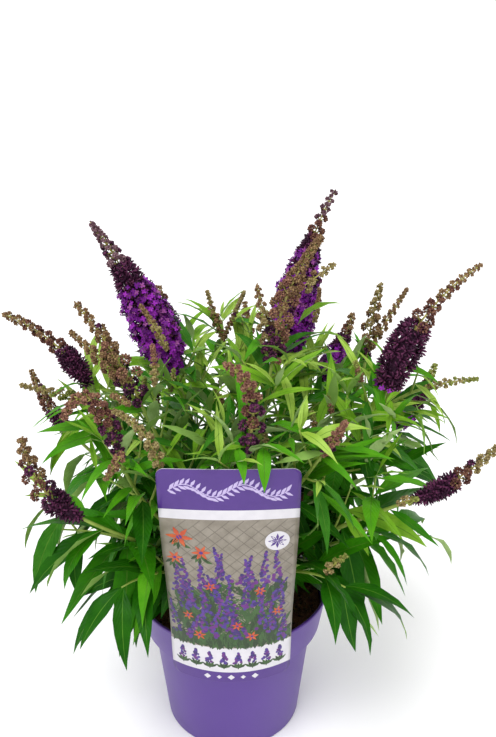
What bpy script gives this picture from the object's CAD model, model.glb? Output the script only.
import math

import bmesh
import bpy
import numpy as np
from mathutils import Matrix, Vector, noise


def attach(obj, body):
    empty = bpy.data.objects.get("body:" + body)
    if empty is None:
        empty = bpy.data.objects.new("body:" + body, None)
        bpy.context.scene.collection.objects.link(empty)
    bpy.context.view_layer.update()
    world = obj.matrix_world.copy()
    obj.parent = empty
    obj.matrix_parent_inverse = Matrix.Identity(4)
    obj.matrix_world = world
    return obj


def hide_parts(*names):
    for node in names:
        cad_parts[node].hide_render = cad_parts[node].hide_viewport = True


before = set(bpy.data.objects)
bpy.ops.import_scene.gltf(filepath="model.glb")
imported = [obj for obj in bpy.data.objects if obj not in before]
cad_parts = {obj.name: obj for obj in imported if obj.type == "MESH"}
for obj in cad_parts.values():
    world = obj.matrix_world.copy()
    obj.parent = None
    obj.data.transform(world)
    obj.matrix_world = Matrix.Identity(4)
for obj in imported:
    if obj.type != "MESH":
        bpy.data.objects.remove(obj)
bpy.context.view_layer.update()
mm = 0.001
print("frame loaded")


# materials: what each one is made of gives its roughness and relief

def linear(hexColour):
    # sRGB hex to the linear colour that a shader takes
    parts = [int(hexColour[i : i + 2], 16) / 255 for i in (1, 3, 5)]
    return [p / 12.92 if p <= 0.04045 else ((p + 0.055) / 1.055) ** 2.4 for p in parts] + [1]


def addNode(tree, kind, links=None, **settings):
    # one node with its settings; links maps an input to a socket or to a plain value
    node = tree.nodes.new(kind)
    for name, value in settings.items():
        setattr(node, name, value)
    for name, value in (links or {}).items():
        if isinstance(value, bpy.types.NodeSocket):
            tree.links.new(value, node.inputs[name])
        else:
            node.inputs[name].default_value = value
    return node


def newMaterial(name, roughness, ior=1.45, **more):
    material = bpy.data.materials.new(name)
    material.use_nodes = True
    shader = material.node_tree.nodes["Principled BSDF"]
    shader.inputs["Roughness"].default_value = roughness
    shader.inputs["IOR"].default_value = ior
    for key, value in more.items():
        shader.inputs[key.replace("_", " ")].default_value = value
    return material, material.node_tree, shader


def mottle(tree, shader, first, second, size, low=0.35, high=0.65):
    # two close colours in soft patches of the given real size
    place = addNode(tree, "ShaderNodeTexCoord")
    patches = addNode(
        tree, "ShaderNodeTexNoise", {"Vector": place.outputs["Object"], "Scale": 1 / size, "Detail": 4.0}
    )
    ramp = addNode(tree, "ShaderNodeValToRGB", {"Fac": patches.outputs["Fac"]})
    ramp.color_ramp.elements[0].position = low
    ramp.color_ramp.elements[0].color = linear(first)
    ramp.color_ramp.elements[1].position = high
    ramp.color_ramp.elements[1].color = linear(second)
    tree.links.new(ramp.outputs["Color"], shader.inputs["Base Color"])


def raiseRelief(tree, shader, height, depth, strength=1.0):
    bump = addNode(tree, "ShaderNodeBump", {"Height": height, "Distance": depth, "Strength": strength})
    tree.links.new(bump.outputs["Normal"], shader.inputs["Normal"])


def roughen(tree, shader, size, depth):
    # fine relief of the given real grain size
    place = addNode(tree, "ShaderNodeTexCoord")
    grain = addNode(
        tree, "ShaderNodeTexNoise", {"Vector": place.outputs["Object"], "Scale": 1 / size, "Detail": 3.0}
    )
    raiseRelief(tree, shader, grain.outputs["Fac"], depth)


# living leaf: a thin waxy skin, quilted between side veins that run forward from the midrib
leafSkin = {
    "tones": [
        ("#154c03", "#205c04"), ("#286c05", "#347a09"), ("#428a0e", "#529616"),
        ("#6a9e20", "#7eac30"), ("#8eb23c", "#a4c658"), ("#2a6612", "#3a761c"),
    ],
    "under": [("#769c46", "#86aa56"), ("#98b470", "#a8c480")],
    "rib": ("#4e7e22", "#42701c"),
    "roughness": 0.42,
    "backRoughness": 0.8,
    "gloss": 0.1,
    "veins": 11,
    "veinSlope": 0.55,
    "veinDepth": 0.09 * mm,
    "veinStrength": 0.8,
    "mottleSize": 14 * mm,
}


def leafMaterial(name, pair, roughness):
    material, tree, shader = newMaterial(name, roughness, Specular_IOR_Level=leafSkin["gloss"])
    mottle(tree, shader, *pair, leafSkin["mottleSize"])
    # the side veins are ridges that sweep forward as they leave the midrib
    along = addNode(tree, "ShaderNodeUVMap")
    parts = addNode(tree, "ShaderNodeSeparateXYZ", {"Vector": along.outputs["UV"]})
    aside = addNode(tree, "ShaderNodeMath", {0: parts.outputs["Y"], 1: 0.5}, operation="SUBTRACT")
    spread = addNode(tree, "ShaderNodeMath", {0: aside.outputs[0]}, operation="ABSOLUTE")
    swept = addNode(
        tree, "ShaderNodeMath",
        {0: spread.outputs[0], 1: -leafSkin["veinSlope"], 2: parts.outputs["X"]}, operation="MULTIPLY_ADD",
    )
    angle = 2 * math.pi * leafSkin["veins"]
    turns = addNode(tree, "ShaderNodeMath", {0: swept.outputs[0], 1: angle}, operation="MULTIPLY")
    ridges = addNode(tree, "ShaderNodeMath", {0: turns.outputs[0]}, operation="SINE")
    raiseRelief(tree, shader, ridges.outputs[0], leafSkin["veinDepth"], leafSkin["veinStrength"])
    return material


leafTops = [
    leafMaterial(f"leaf skin {i}", pair, leafSkin["roughness"]) for i, pair in enumerate(leafSkin["tones"])
]
# the leaf's back is felted with fine pale hairs, so it is dull
leafBacks = [
    leafMaterial(f"felted leaf back {i}", pair, leafSkin["backRoughness"])
    for i, pair in enumerate(leafSkin["under"])
]


def plainMaterial(name, first, second, roughness, grain, depth, **more):
    # a natural surface: two close colours, and a relief as fine as its grain
    material, tree, shader = newMaterial(name, roughness, **more)
    mottle(tree, shader, first, second, grain * 3)
    roughen(tree, shader, grain, depth)
    return material


leafRib = plainMaterial("leaf midrib", *leafSkin["rib"], 0.5, 2 * mm, 0.05 * mm, Specular_IOR_Level=0.14)
# green wood of this year's growth is smooth, older wood peels in fine strips
greenShoot = plainMaterial("green shoot", "#7c9638", "#94a84a", 0.55, 3 * mm, 0.1 * mm)
flowerStalk = plainMaterial("flower stalk", "#c0b468", "#aaaa50", 0.6, 2 * mm, 0.08 * mm)
barkStrips = plainMaterial("peeling bark", "#57442c", "#826c4c", 0.85, 1.6 * mm, 0.5 * mm)

# petals are thin and matt, with a soft sheen on their lobes
petalTones = [
    ("#5c0472", "#6c0886"), ("#80149a", "#9624ae"), ("#400450", "#500860"), ("#8a3c8c", "#a0569a"),
]
petals = [
    plainMaterial(f"open petal {i}", *pair, 0.5, 1.5 * mm, 0.05 * mm, Specular_IOR_Level=0.25)
    for i, pair in enumerate(petalTones)
]
petalEye = plainMaterial("petal throat", "#8a4420", "#642a1c", 0.6, 1 * mm, 0.03 * mm)
# closed buds carry a grey bloom of hairs over dark purple, maroon, brown or green
budTones = {
    "violet": [("#260822", "#380e2e"), ("#501e44", "#6a3254")],
    "mauve": [("#4c303c", "#5e3e48"), ("#70525c", "#84666e")],
    "maroon": [("#4c2a26", "#5e362e"), ("#6c463a", "#805a46")],
    "brown": [("#624632", "#76583c"), ("#806646", "#987c56")],
    "rose": [("#68423a", "#7c5244"), ("#86604c", "#9c765c")],
    "tan": [("#72623c", "#86744a"), ("#908256", "#a89868")],
    "green": [("#6c7030", "#7e823e"), ("#868f44", "#9aa256")],
}
budSkins = {
    kind: [plainMaterial(f"{kind} bud {i}", *pair, 0.65, 1 * mm, 0.08 * mm, Specular_IOR_Level=0.3)
           for i, pair in enumerate(pairs)]
    for kind, pairs in budTones.items()
}
print("plant materials made")


# lines: rows of points, evenly spaced by length

linePoints = 61
curvePoints = 241
anyTurn = (0, 6.3)  # a random turn is drawn between these
seeds = {"growth": 41, "spikes": 900, "florets": 5, "crumbs": 3, "print": 12}


def unit(way):
    return way / np.maximum(np.linalg.norm(way, axis=-1, keepdims=True), 1e-9)


def evenly(points, count=linePoints):
    reach = np.concatenate([[0], np.cumsum(np.linalg.norm(np.diff(points, axis=0), axis=1))])
    wanted = np.linspace(0, reach[-1], count)
    return np.stack([np.interp(wanted, reach, points[:, axis]) for axis in range(3)], axis=1)


def placeOn(line, share):
    at = np.clip(share, 0, 1) * (len(line) - 1)
    return np.stack([np.interp(at, np.arange(len(line)), line[:, axis]) for axis in range(3)], axis=-1)


def wayOn(line, share, step=0.02):
    share = np.clip(share, step, 1 - step)
    return unit(placeOn(line, share + step) - placeOn(line, share - step))


def lengthOf(line):
    return np.linalg.norm(np.diff(line, axis=0), axis=1).sum()


def levelAcross(way):
    side = np.cross(way, [0, 0, 1])
    flat = np.linalg.norm(side, axis=-1, keepdims=True) < 0.1
    return unit(np.where(flat, [1.0, 0, 0], side))


def leaning(along, turn, out):
    # a direction that leans out from a line by one angle, turned about it by another
    first = levelAcross(along)
    second = np.cross(along, first)
    return along * math.cos(out) + (first * math.cos(turn) + second * math.sin(turn)) * math.sin(out)


def framesOn(line, share):
    # two directions square to the line, steady in the plane that it bends in
    middle = line[len(line) // 2]
    square = np.cross(middle - line[0], line[-1] - middle)
    if np.linalg.norm(square) < 1e-9 * mm:
        square = levelAcross(line[-1] - line[0])
    along = wayOn(line, share)
    second = unit(np.cross(along, unit(square)))
    return np.cross(second, along), second


# joined copies of small shapes

def templateOf(bm):
    # a small shape as plain arrays, ready to be copied
    mesh = bpy.data.meshes.new("shape")
    bm.to_mesh(mesh)
    bm.free()
    points = np.empty(len(mesh.vertices) * 3)
    corners = np.empty(len(mesh.loops), int)
    counts = np.empty(len(mesh.polygons), int)
    slots = np.empty(len(mesh.polygons), int)
    mesh.vertices.foreach_get("co", points)
    mesh.loops.foreach_get("vertex_index", corners)
    mesh.polygons.foreach_get("loop_total", counts)
    mesh.polygons.foreach_get("material_index", slots)
    bpy.data.meshes.remove(mesh)
    return {"points": points.reshape(-1, 3), "corners": corners, "counts": counts, "slots": slots}


def finishPiece(piece, slot, *nodes):
    bpy.context.scene.collection.objects.link(piece)
    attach(piece, "root")
    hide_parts(*nodes)
    return piece


def joinedPiece(name, batches, materials, slot, nodes, smooth=True, sharpFrom=None):
    # each batch is (template, copies of its points, material slot of each copy's faces)
    points = np.concatenate([copies.reshape(-1, 3) for _, copies, _ in batches])
    corners, counts, slots, charts = [], [], [], []
    start = 0
    for template, copies, faceSlots in batches:
        number, each = copies.shape[:2]
        first = start + np.arange(number)[:, None] * each
        corners.append((template["corners"][None] + first).ravel())
        counts.append(np.tile(template["counts"], number))
        slots.append(faceSlots.ravel())
        # the map runs along a blade in x and across it in y
        chart = template["points"][template["corners"], :2] * [1, 0.5] + [0, 0.5]
        charts.append(np.tile(chart, (number, 1)))
        start += number * each
    corners, counts = np.concatenate(corners), np.concatenate(counts)
    mesh = bpy.data.meshes.new(name)
    mesh.vertices.add(len(points))
    mesh.vertices.foreach_set("co", points.ravel())
    mesh.loops.add(len(corners))
    mesh.loops.foreach_set("vertex_index", corners)
    mesh.polygons.add(len(counts))
    mesh.polygons.foreach_set("loop_start", np.concatenate([[0], np.cumsum(counts)[:-1]]))
    mesh.polygons.foreach_set("material_index", np.concatenate(slots))
    mesh.polygons.foreach_set("use_smooth", np.full(len(counts), smooth))
    mesh.uv_layers.new(name="along").data.foreach_set("uv", np.concatenate(charts).ravel())
    mesh.update()
    mesh.validate()
    if sharpFrom:
        mesh.set_sharp_from_angle(angle=sharpFrom)
    for material in materials:
        mesh.materials.append(material)
    print(f"{name}: {sum(len(copies) for _, copies, _ in batches)} copies, {(counts - 2).sum()} triangles")
    return finishPiece(bpy.data.objects.new(name, mesh), slot, *nodes)


def slotsFor(template, *choices):
    # one row per copy: the shape's own slot numbers, swapped for that copy's materials
    return np.stack(choices, axis=1)[:, template["slots"]]


# the shoots: the same layout as the solids

stemForm = {
    "flareRadius": 20 * mm, "neckRadius": 15 * mm, "neckRise": 4 * mm,
    "headRadius": 20 * mm, "headCentre": 147 * mm, "foot": 131.3 * mm,
}
boughForm = {
    "footRadius": 2.6 * mm, "tipRadius": 2 * mm, "apart": 0.27, "rise": 0.12, "lowRise": 0.28,
    "share": 0.5, "lowShare": 0.4, "startPull": 0.36, "endPull": 0.3, "sinksIn": 3 * mm,
}

# base, mid and tip of each flower spike in millimetres, with its girth. beside lists smaller spikes.
# open and closed are the shares of its length up to which florets are open, then closed and purple.
# tones colours the buds above those, lower and upper, and purple is the share of the lower ones that
# have turned. bunch is a bunch's share of the radius, around says how many stand in a ring, and loose
# spreads the rings. shape is the girth's share from foot to tip. a low shoot bears no spike
shoots = [
    {"name": "left_plume", "base": (-54, 15, 372), "mid": (-82, 8, 448), "tip": (-117, 0, 514), "girth": 26,
     "open": 0.58, "closed": 0.68, "tones": ("mauve", "mauve"), "purple": 0.3, "bunch": 0.3, "around": 3,
     "shape": [0.5, 0.85, 0.93, 0.86, 0.68, 0.48, 0.26, 0.1]},
    {"name": "back_plume", "base": (56, 55, 378), "mid": (68, 60, 461), "tip": (94, 65, 528), "girth": 22,
     "open": 0.62, "closed": 0.68, "tones": ("maroon", "mauve"),
     "shape": [0.6, 1.1, 1.15, 0.92, 0.66, 0.46, 0.3, 0.2]},
    {"name": "centre_spires", "base": (36, -20, 395), "mid": (49, -15, 454), "tip": (77, -10, 504),
     "girth": 15,
     "beside": [(1.5, (88, -10, 480), ("brown", "tan")), (1.03, (23, -15, 464), ("tan", "brown"))],
     "open": 0, "closed": 0, "tones": ("rose", "brown"), "purple": 0.3, "bunch": 0.32, "around": 3,
     "shape": [0.7, 0.95, 1, 1, 0.86, 0.5, 0.36, 0.24]},
    {"name": "right_spire", "base": (137, -30, 375), "mid": (164, -25, 437), "tip": (210, -20, 483),
     "girth": 19, "open": 0.02, "closed": 0.42, "tones": ("maroon", "brown"), "purple": 0.1, "loose": 1.1,
     "shape": [0.8, 1.1, 1.15, 0.82, 0.5, 0.38, 0.28, 0.2]},
    {"name": "right_back_spires", "base": (130, 62, 365), "mid": (134, 62, 405), "tip": (140, 60, 442),
     "girth": 11, "beside": [(1.1, (165, 60, 437), ("brown", "brown"))], "open": 0, "closed": 0,
     "tones": ("brown", "tan"), "loose": 1.05},
    {"name": "right_bud", "base": (181, 12, 357), "mid": (204, 11, 363), "tip": (226, 10, 366), "girth": 6,
     "open": 0, "closed": 0, "tones": ("tan", "green"), "purple": 0, "loose": 1.1},
    {"name": "right_low_spire", "base": (157, -75, 289), "mid": (190, -78, 310), "tip": (223, -80, 344),
     "girth": 12, "open": 0, "closed": 0.42, "tones": ("maroon", "tan")},
    {"name": "far_left_spire", "base": (-135, 22, 357), "mid": (-164, 22, 398), "tip": (-206, 22, 425),
     "girth": 13, "beside": [(0.8, (-189, -8, 368), ("green", "tan"))], "open": 0, "closed": 0.34,
     "tones": ("maroon", "brown"), "shape": [0.7, 1.15, 1.05, 0.8, 0.62, 0.56, 0.5, 0.38]},
    {"name": "left_buds", "base": (-77, -45, 368), "mid": (-99, -45, 416), "tip": (-126, -45, 458),
     "girth": 15, "beside": [(1.15, (-130, -54, 436), ("brown", "brown"))], "open": 0, "closed": 0,
     "tones": ("rose", "brown"), "purple": 0.5, "loose": 0.98,
     "shape": [0.7, 1, 1, 0.82, 0.56, 0.46, 0.4, 0.3]},
    {"name": "left_front_arch", "base": (-89, -92, 338), "mid": (-108, -100, 396), "tip": (-130, -105, 382),
     "girth": 11, "open": 0, "closed": 0, "tones": ("maroon", "rose"), "purple": 0.5, "bunch": 0.33,
     "around": 3},
    {"name": "left_low_spire", "base": (-128, -85, 278), "mid": (-159, -86, 310), "tip": (-170, -85, 355),
     "girth": 15, "open": 0, "closed": 0.3, "tones": ("maroon", "brown"), "purple": 0.4},
    {"name": "front_spire", "base": (15, -100, 352), "mid": (18, -106, 403), "tip": (-2, -111, 430),
     "girth": 13, "open": 0, "closed": 0, "tones": ("maroon", "rose"), "purple": 0.6, "loose": 0.95,
     "shape": [0.6, 1, 0.95, 0.8, 0.66, 0.58, 0.5, 0.3]},
    {"name": "top_buds", "base": (-10, 60, 388), "mid": (-17, 60, 412), "tip": (-23, 60, 434), "girth": 6,
     "beside": [(0.97, (12, 60, 434), ("brown", "tan"))], "open": 0, "closed": 0,
     "tones": ("brown", "tan")},
    {"name": "right_front_bud", "base": (75, -103, 348), "mid": (84, -107, 365), "tip": (92, -110, 381),
     "girth": 7, "open": 0, "closed": 0, "tones": ("rose", "rose"), "bunch": 0.32, "around": 3},
    {"name": "back_left_plume", "base": (-58, 98, 355), "mid": (-68, 106, 398), "tip": (-76, 110, 424),
     "girth": 15, "open": 0.55, "closed": 0.68, "tones": ("maroon", "brown")},
    {"name": "back_left_spire", "base": (-110, 120, 305), "mid": (-128, 138, 334), "tip": (-140, 152, 368),
     "girth": 12, "open": 0, "closed": 0.4, "tones": ("maroon", "brown")},
    {"name": "back_right_spire", "base": (92, 120, 318), "mid": (112, 138, 346), "tip": (126, 150, 380),
     "girth": 14, "open": 0.5, "closed": 0.62, "tones": ("maroon", "brown")},
    {"name": "back_centre_spire", "base": (12, 142, 322), "mid": (14, 162, 350), "tip": (12, 178, 384),
     "girth": 13, "open": 0, "closed": 0.3, "tones": ("rose", "brown")},
    {"name": "far_left_back_spire", "base": (-162, 66, 280), "mid": (-186, 78, 306), "tip": (-203, 86, 342),
     "girth": 11, "open": 0, "closed": 0.35, "tones": ("maroon", "brown")},
    {"name": "far_right_back_spire", "base": (164, 68, 285), "mid": (188, 82, 312), "tip": (205, 92, 346),
     "girth": 12, "open": 0.3, "closed": 0.55, "tones": ("maroon", "green")},
    {"name": "front_left_skirt", "base": (-92, -112, 226)},
    {"name": "front_right_skirt", "base": (98, -112, 226)},
    {"name": "right_skirt", "base": (178, -28, 222)},
    {"name": "left_skirt", "base": (-176, -18, 222)},
    {"name": "back_left_skirt", "base": (-104, 146, 220)},
    {"name": "back_right_skirt", "base": (112, 144, 220)},
    {"name": "back_skirt", "base": (4, 172, 226)},
]
stemHead = np.array([0, 0, stemForm["headCentre"]])


def bent(*points):
    # a smooth line pulled towards its middle points, and even along its length
    rounds = np.linspace(0, 1, curvePoints)[:, None]
    rows = [np.array(point, float) for point in points]
    while len(rows) > 1:
        rows = [a + (b - a) * rounds for a, b in zip(rows, rows[1:])]
    return evenly(rows[0])


def spreadOut(directions, angle, rounds=80):
    # pushes unit directions apart until no two are closer than the angle
    for _ in range(rounds):
        for i, a in enumerate(directions):
            for j in range(i + 1, len(directions)):
                b = directions[j]
                short = angle - math.acos(max(-1, min(1, float(np.dot(a, b)))))
                if short > 0:
                    apart = unit(a - b) * short / 2
                    a = directions[i] = unit(a + apart)
                    directions[j] = unit(b - apart)
    return directions


def layOut():
    starts = []
    for shoot in shoots:
        way = unit(np.array(shoot["base"]) * mm - stemHead)
        way[2] += boughForm["rise"] if "tip" in shoot else boughForm["lowRise"]
        starts.append(unit(way))
    for shoot, start in zip(shoots, spreadOut(starts, boughForm["apart"])):
        base = np.array(shoot["base"]) * mm
        foot = stemHead + start * stemForm["headRadius"]
        reach = np.linalg.norm(base - foot)
        ending = unit(base * [1, 1, 0])
        if "tip" in shoot:
            mid, tip = np.array(shoot["mid"]) * mm, np.array(shoot["tip"]) * mm
            shoot["spike"] = bent(base, 2 * mid - (base + tip) / 2, tip)
            ending = wayOn(shoot["spike"], 0)
        early = foot + start * reach * boughForm["startPull"]
        late = base - ending * reach * boughForm["endPull"]
        line = bent(foot, early, late, base)
        split = boughForm["share"] if "tip" in shoot else boughForm["lowShare"]
        shoot["bough"] = evenly(placeOn(line, np.linspace(0, split, linePoints)))
        shoot["twig"] = evenly(placeOn(line, np.linspace(split, 1, linePoints)))
        shoot["sides"] = []
        for share, sideTip, _ in shoot.get("beside", []):
            root = placeOn(shoot["spike"], share - 1) if share > 1 else placeOn(shoot["twig"], share)
            shoot["sides"].append(evenly(np.array([root, np.array(sideTip) * mm])))


spikeForm = {"shape": [0.4, 0.9, 1.05, 1, 0.84, 0.66, 0.5, 0.34], "least": 2.4 * mm, "sideShare": 0.6}


def spikeRadius(girth, share, shape=spikeForm["shape"]):
    part = np.interp(share, np.linspace(0, 1, len(shape)), shape)
    return np.maximum(spikeForm["least"], girth * mm * part)


layOut()
print("shoots laid out")


# room for each mass: the solids' rule, in which a leaf keeps nearer to its own shoot than to any other

room = {
    "marks": 11, "boughRadius": 2.6 * mm, "twigRadius": 2.3 * mm,
    "clear": -8 * mm, "innerClear": -30 * mm, "rimClear": 5 * mm,
    "floor": 146 * mm, "floorRise": 0.45, "floorFlat": 138 * mm,
    # beside the label the soil is in view: from one side to the other, and the slope of its upper edge
    "openFrom": 50 * mm, "openTo": 80 * mm, "openFront": -40 * mm, "openTop": 146 * mm, "openRise": 0.77,
    "labelClear": 4 * mm, "stemClear": 3 * mm,
    "centre": (8 * mm, 14 * mm), "halfWidth": 216 * mm, "halfDepth": 196 * mm,
    "skirtTop": 232 * mm, "top": 432 * mm, "roundness": 2.5,
}
potForm = {
    "height": 150 * mm, "rimRadius": 95 * mm, "lip": 1.2 * mm, "collarHeight": 39 * mm,
    "collarFootRadius": 88 * mm, "shoulderRadius": 80 * mm, "footRadius": 68 * mm, "wall": 1.8 * mm,
    "floor": 2 * mm, "drains": 6, "drainRadius": 6 * mm, "drainRing": 46 * mm,
    "steps": 144, "sharpFrom": 0.9, "edgeRound": 0.5 * mm, "drillDepth": 12 * mm, "drillSides": 32,
    # round the foot: how far in from its edge, and how far up
    "footRound": [(2 * mm, 0), (0.6 * mm, 0.6 * mm), (0, 2 * mm)],
    # the rolled rim: how far in from its outside, then out from its inside, and how far down from its top
    "rollHeight": 4.2 * mm,
    "roll": [(0.2 * mm, 3.2 * mm), (0, 2.2 * mm), (0, 0.9 * mm), (0.3 * mm, 0.25 * mm), (0.9 * mm, 0)],
    "rollInside": [(0.6 * mm, 0.1 * mm), (0, 0.8 * mm)],
}
labelForm = {
    "width": 116 * mm, "height": 243 * mm, "bottom": 104 * mm, "thickness": 0.8 * mm, "rimClear": 1.2 * mm,
    "cornerRadius": 7 * mm, "lean": 0.124, "bendAtTop": 900 * mm,
}


def labelFront(height):
    lean = labelForm["lean"] * (height - potForm["height"])
    return potForm["rimRadius"] + labelForm["rimClear"] + lean


def marksOf(line, radii):
    # points along a limb, each with the limb's radius there
    steps = np.linspace(0, 1, room["marks"])
    return np.column_stack([placeOn(line, steps), np.broadcast_to(radii, room["marks"])])


def markOut():
    steps = np.linspace(0, 1, room["marks"])
    for shoot in shoots:
        marks = [marksOf(shoot["bough"], room["boughRadius"]), marksOf(shoot["twig"], room["twigRadius"])]
        if "spike" in shoot:
            marks.append(marksOf(shoot["spike"], spikeRadius(shoot["girth"], steps)))
        for side in shoot["sides"]:
            marks.append(marksOf(side, spikeRadius(shoot["girth"] * spikeForm["sideShare"], steps)))
        shoot["ownMarks"] = np.concatenate(marks)
    for shoot in shoots:
        shoot["otherMarks"] = np.concatenate([other["ownMarks"] for other in shoots if other is not shoot])


def nearest(points, marks):
    away = np.linalg.norm(points[:, None] - marks[None, :, :3], axis=2)
    return (away - marks[None, :, 3]).min(axis=1)


def inSpace(points, own, clear=room["clear"]):
    x, y, z = points.T
    middleX, middleY = room["centre"]
    across = np.hypot((x - middleX) / room["halfWidth"], (y - middleY) / room["halfDepth"])
    up = np.maximum(0, z - room["skirtTop"]) / (room["top"] - room["skirtTop"])
    # the skirt's lower edge rises outwards
    floor = room["floor"] + room["floorRise"] * np.maximum(0, np.hypot(x, y) - room["floorFlat"])
    if (across ** room["roundness"] + up ** room["roundness"] > 1).any() or (z < floor).any():
        return False
    if (np.linalg.norm(points - stemHead, axis=1) < stemForm["headRadius"] + room["stemClear"]).any():
        return False
    overPot = np.hypot(x, y) < potForm["rimRadius"] + room["rimClear"]
    if (overPot & (z < potForm["height"] + room["rimClear"])).any():
        return False
    inOpening = (x > room["openFrom"]) & (x < room["openTo"]) & (y < room["openFront"])
    if (inOpening & (z < room["openTop"] - room["openRise"] * y)).any():
        return False
    beside = np.abs(x) > labelForm["width"] / 2 + room["labelClear"]
    above = z > labelForm["bottom"] + labelForm["height"] + room["labelClear"]
    behind = -y < labelFront(z) - x**2 / (2 * potForm["rimRadius"]) - room["labelClear"]
    if not (beside | above | behind).all():
        return False
    most = nearest(points, own["ownMarks"]) + clear
    return bool((nearest(points, own["otherMarks"]) > most).all())


markOut()


# leaves

leafForm = {
    "longest": 124 * mm, "shortest": 82 * mm, "thickness": 0.35 * mm, "sinksIn": 0.5 * mm,
    "stations": [(0, 0), (0.05, 0.09), (0.15, 0.58), (0.28, 0.93), (0.4, 1), (0.56, 0.86), (0.72, 0.58),
                 (0.87, 0.25), (1, 0)],
    "top": [-1, -0.045, 0.045, 1], "back": [-1, 0, 1],
    "fold": 0.2, "ripple": 0.12, "rippleTurns": 21, "rippleShift": 1.3,
    # the arc's least turn, and the share of the turn to hanging straight down that it stops at
    "leastBend": 0.05, "mostBend": 0.92,
    # where along a leaf it is tried for space, and how wide it is taken to be there
    "tryAt": [0.2, 0.42, 0.6, 0.8, 1], "tryWidest": 0.36, "tryHalf": 0.1,
}
# how leaves differ: a spread round the middle value, or the least and the greatest share of it
leafVaries = {
    "turn": 0.32, "lean": 0.2, "bow": 0.08, "roll": 0.35, "twist": 0.5,
    "hang": (0.4, 1.4), "bend": (0.5, 1.45), "width": (0.165, 0.225), "fold": (0.4, 1.5),
}


def leafTemplate():
    # x runs from root to tip, y from edge to edge, z is 0 above and -1 below
    bm = bmesh.new()
    stations = leafForm["stations"]
    length = len(stations) - 1
    for columns, depth in ((leafForm["top"], 0), (leafForm["back"], -1)):
        width = len(columns) - 1
        side = bmesh.ops.create_grid(bm, x_segments=length, y_segments=width, size=0.5)
        for vert in side["verts"]:
            share, half = stations[round((vert.co.x + 0.5) * length)]
            column = columns[round((vert.co.y + 0.5) * width)]
            vert.co = (share, column * half, 0 if abs(column) == 1 or half == 0 else depth)
        faces = list({face for vert in side["verts"] for face in vert.link_faces})
        for face in faces:
            face.material_index = 2 if depth else 1 if abs(face.calc_center_median().y) < 0.02 else 0
        # both sides are cut along the same diagonals, so a twisted blade keeps its thickness
        faces = bmesh.ops.triangulate(bm, faces=faces, quad_method="FIXED")["faces"]
        if depth:
            bmesh.ops.reverse_faces(bm, faces=faces)
    bmesh.ops.remove_doubles(bm, verts=bm.verts, dist=1e-5)
    bmesh.ops.dissolve_degenerate(bm, edges=bm.edges, dist=1e-6)
    return templateOf(bm)


def alongLeaf(root, way, length, bend, share):
    # a leaf's rib is an arc: it starts along its way and turns down through the bend
    down = unit(way * way[..., 2:] - np.array([0, 0, 1]))
    turned = bend * share
    ahead, below = length * np.sin(turned) / bend, length * (1 - np.cos(turned)) / bend
    rib = root + way * ahead[..., None] + down * below[..., None]
    heading = way * np.cos(turned)[..., None] + down * np.sin(turned)[..., None]
    return rib, heading, np.cross(down, way)


def bendLeaves(template, leaves):
    # every leaf at once: an arching rib, with the blade folded along it and rippled at its edges
    row = lambda key: np.array([leaf[key] for leaf in leaves], float)[:, None]
    share, across, face = (template["points"][None, :, i] for i in range(3))
    root = np.array([leaf["root"] for leaf in leaves])[:, None]
    way = np.array([leaf["way"] for leaf in leaves])[:, None]
    length, bow = row("length"), row("bow")
    rib, heading, level = alongLeaf(root, way, length, row("bend"), share)
    rib = rib + level * (bow * length * share**2)[..., None]
    heading = unit(heading + level * (2 * bow * share)[..., None])
    normal = unit(np.cross(heading, -level))
    side = np.cross(normal, heading)
    roll = (row("roll") + row("twist") * share)[..., None]
    side, normal = side * np.cos(roll) + normal * np.sin(roll), normal * np.cos(roll) - side * np.sin(roll)
    half = length * row("width") / 2
    waves = share * leafForm["rippleTurns"] + row("phase") + leafForm["rippleShift"] * np.sign(across)
    ripple = np.sin(waves) * leafForm["ripple"]
    lift = half * (row("fold") + ripple) * np.abs(across)
    lift += face * leafForm["thickness"]
    return rib + side * (across * half)[..., None] + normal * lift[..., None]


# how each mass's stem grows. pairs of values are at its foot and its end, and lists of two are a least and
# a greatest share. lowness is 1 for a mass that grows out low down, whose leaves are large and hang, and 0
# for one that stands in the crown
growth = {
    "nodeSpacing": 12 * mm, "lowSpacing": 21 * mm, "fewestNodes": 5, "firstNode": 0.02,
    "lastNode": 0.97, "radius": 2.2 * mm, "spikeFoot": 1.5 * mm, "leafyEnd": 0.7 * mm,
    "lowFrom": 350 * mm, "lowTo": 250 * mm, "quarterVaries": 0.5, "sizeVaries": [0.88, 1.06],
    "lean": (1.15, 0.75), "bend": (1.15, 0.95), "lowBend": 0.25, "hang": 0.25, "lowHang": 0.8,
    "wide": (1.0, 0.7), "lowWide": 1.2, "lowBare": 0.85,
}
# the last leaf of a low stem carries on its line
lastLeaf = {"lean": 0.05, "size": 0.9, "bend": 1.2, "wide": 1.1, "hang": 0.2}
# shaded leaves close in: on the bough below from one share of its length on, and along the foot of the stem
shaded = {
    "spacing": 6.5 * mm, "boughFrom": 0.2, "stemFrom": 0.05, "stemTo": 0.6, "reach": 122 * mm, "turn": 0.4,
    "lean": 1.25, "size": [0.7, 0.95], "bend": 0.7, "tones": 2, "wide": 1.15, "hang": 0.5,
}
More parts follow.
